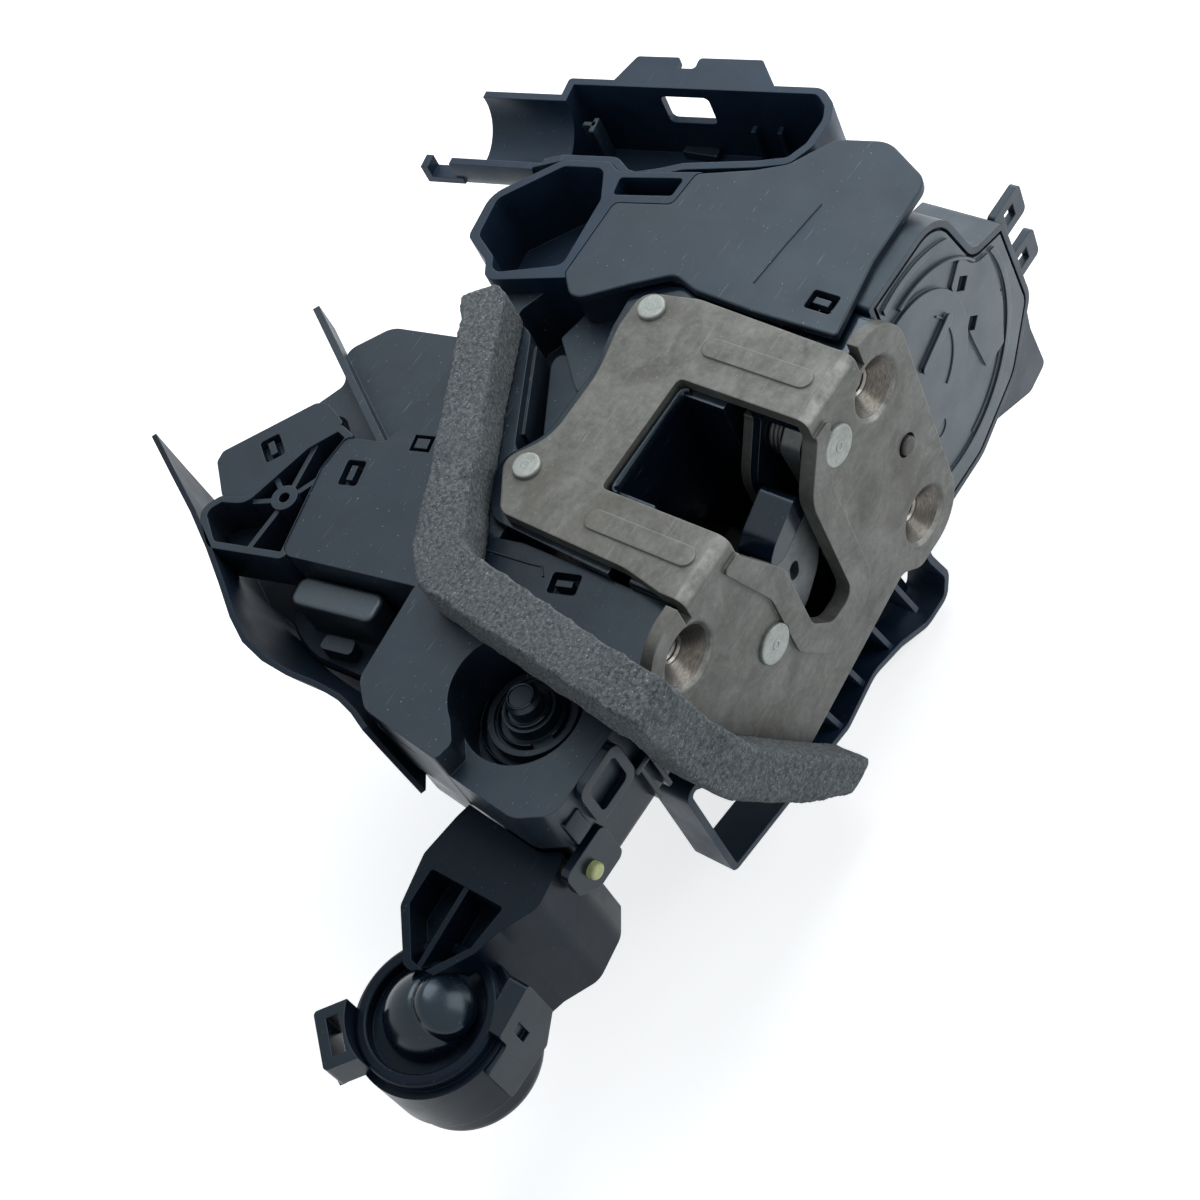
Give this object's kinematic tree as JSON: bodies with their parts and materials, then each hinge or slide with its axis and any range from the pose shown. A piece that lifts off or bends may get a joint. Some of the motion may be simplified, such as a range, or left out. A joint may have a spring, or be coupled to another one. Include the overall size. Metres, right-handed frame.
{
  "type": "door latch actuator",
  "caption": "Motorised vehicle door latch with a steel striker mouth, rotary claw, foam seal and moulded actuator housings.",
  "frame": {"origin": "on the axis of the upper right screw thread of the face plate, 1 mm inside the thread's mouth end", "axes": "+X along the length of the latch towards the round gear cover, -Y out of the face plate towards the striker, +Z towards the side flange and the inboard decks"},
  "size_m": [0.2547, 0.1699, 0.1125],
  "materials": {
    "housing_plastic": "moulded",
    "cover_plastic": "moulded",
    "plated_steel": "dull zinc plate",
    "pin_plastic": "moulded",
    "board_green": "solder mask",
    "claw_steel": "dark",
    "jacket_plastic": "moulded",
    "pin_steel": "plain",
    "spring_steel": "wire",
    "rivet_steel": "plain",
    "seal_foam": "closed cell foam",
    "gear_plastic": "moulded",
    "motor_steel": "drawn can",
    "pinion_brass": "turned",
    "switch_plastic": "moulded",
    "buffer_rubber": "matte"
  },
  "bodies": {
    "housing": {"actuator_case": "housing_plastic", "actuator_cover": "cover_plastic", "back_plate": "plated_steel", "bracket_pin": "pin_plastic", "cable_pocket": "housing_plastic", "cable_trough": "housing_plastic", "channel_housing": "housing_plastic", "circuit_board": "board_green", "claw_pivot_pin": "pin_steel", "claw_spring": "spring_steel", "clip_cover": "housing_plastic", "close_drive_case": "housing_plastic", "close_drive_cover": "housing_plastic", "connector_block": "housing_plastic", "connector_tab": "housing_plastic", "cover_clips": "housing_plastic", "dome_cap": "housing_plastic", "drive_bracket": "housing_plastic", "drive_cup": "housing_plastic", "drive_neck": "housing_plastic", "drive_snap_hook": "housing_plastic", "edge_frame": "housing_plastic", "flange_rivets": "rivet_steel", "foam_seal": "seal_foam", "gear_cover": "cover_plastic", "latch_housing": "housing_plastic", "latch_plate": "plated_steel", "locating_pin": "pin_steel", "lock_motor": "motor_steel", "microswitches": "switch_plastic", "pawl_pivot_pin": "pin_steel", "pawl_spring": "spring_steel", "retainer_clip": "housing_plastic", "rib_frame": "housing_plastic", "side_clip": "housing_plastic", "side_cover": "housing_plastic", "side_panel": "housing_plastic", "splash_shield": "housing_plastic", "stop_buffer": "buffer_rubber", "wing_plate": "housing_plastic"},
    "claw": {"claw": "claw_steel", "claw_jacket": "jacket_plastic"},
    "pawl": {"pawl": "claw_steel"},
    "release_lever": {"release_lever": "claw_steel"},
    "lock_gear": {"lock_gear": "gear_plastic"},
    "lock_pinion": {"lock_pinion": "pinion_brass"},
    "lock_lever": {"lock_lever": "gear_plastic"}
  },
  "joints": [
    {"name": "claw_pivot", "type": "hinge", "parent": "housing", "child": "claw", "pos_m": [-0.055, 0.0019, -0.0236], "axis": [0, 1, 0], "range_deg": [0, 66], "stiffness_Nm_per_rad": 0.02, "springref_deg": -17.19},
    {"name": "pawl_pivot", "type": "hinge", "parent": "housing", "child": "pawl", "pos_m": [-0.0166, 0.0019, 0.0005], "axis": [0, 1, 0], "range_deg": [-10, 7]},
    {"name": "release_lever_pivot", "type": "hinge", "parent": "housing", "child": "release_lever", "pos_m": [-0.0074, 0.0144, -0.0217], "axis": [0, 1, 0], "range_deg": [-9, 12]},
    {"name": "lock_gear_spin", "type": "hinge", "parent": "housing", "child": "lock_gear", "pos_m": [0.03, 0.0074, -0.022], "axis": [0, 1, 0], "range_deg": [0, 90]},
    {"name": "lock_pinion_spin", "type": "hinge", "parent": "housing", "child": "lock_pinion", "pos_m": [0.02384, 0.0054, -0.00509], "axis": [0, 1, 0], "range_deg": [-360, 0]},
    {"name": "lock_lever_pivot", "type": "hinge", "parent": "housing", "child": "lock_lever", "pos_m": [0.04234, 0.0094, -0.03671], "axis": [0, 1, 0], "range_deg": [-30, 0]}
  ],
  "couplings": [
    {"joint": "release_lever_pivot", "follows": "pawl_pivot", "ratio": -1.18},
    {"joint": "lock_pinion_spin", "follows": "lock_gear_spin", "ratio": -4},
    {"joint": "lock_lever_pivot", "follows": "lock_gear_spin", "ratio": -0.33333}
  ]
}
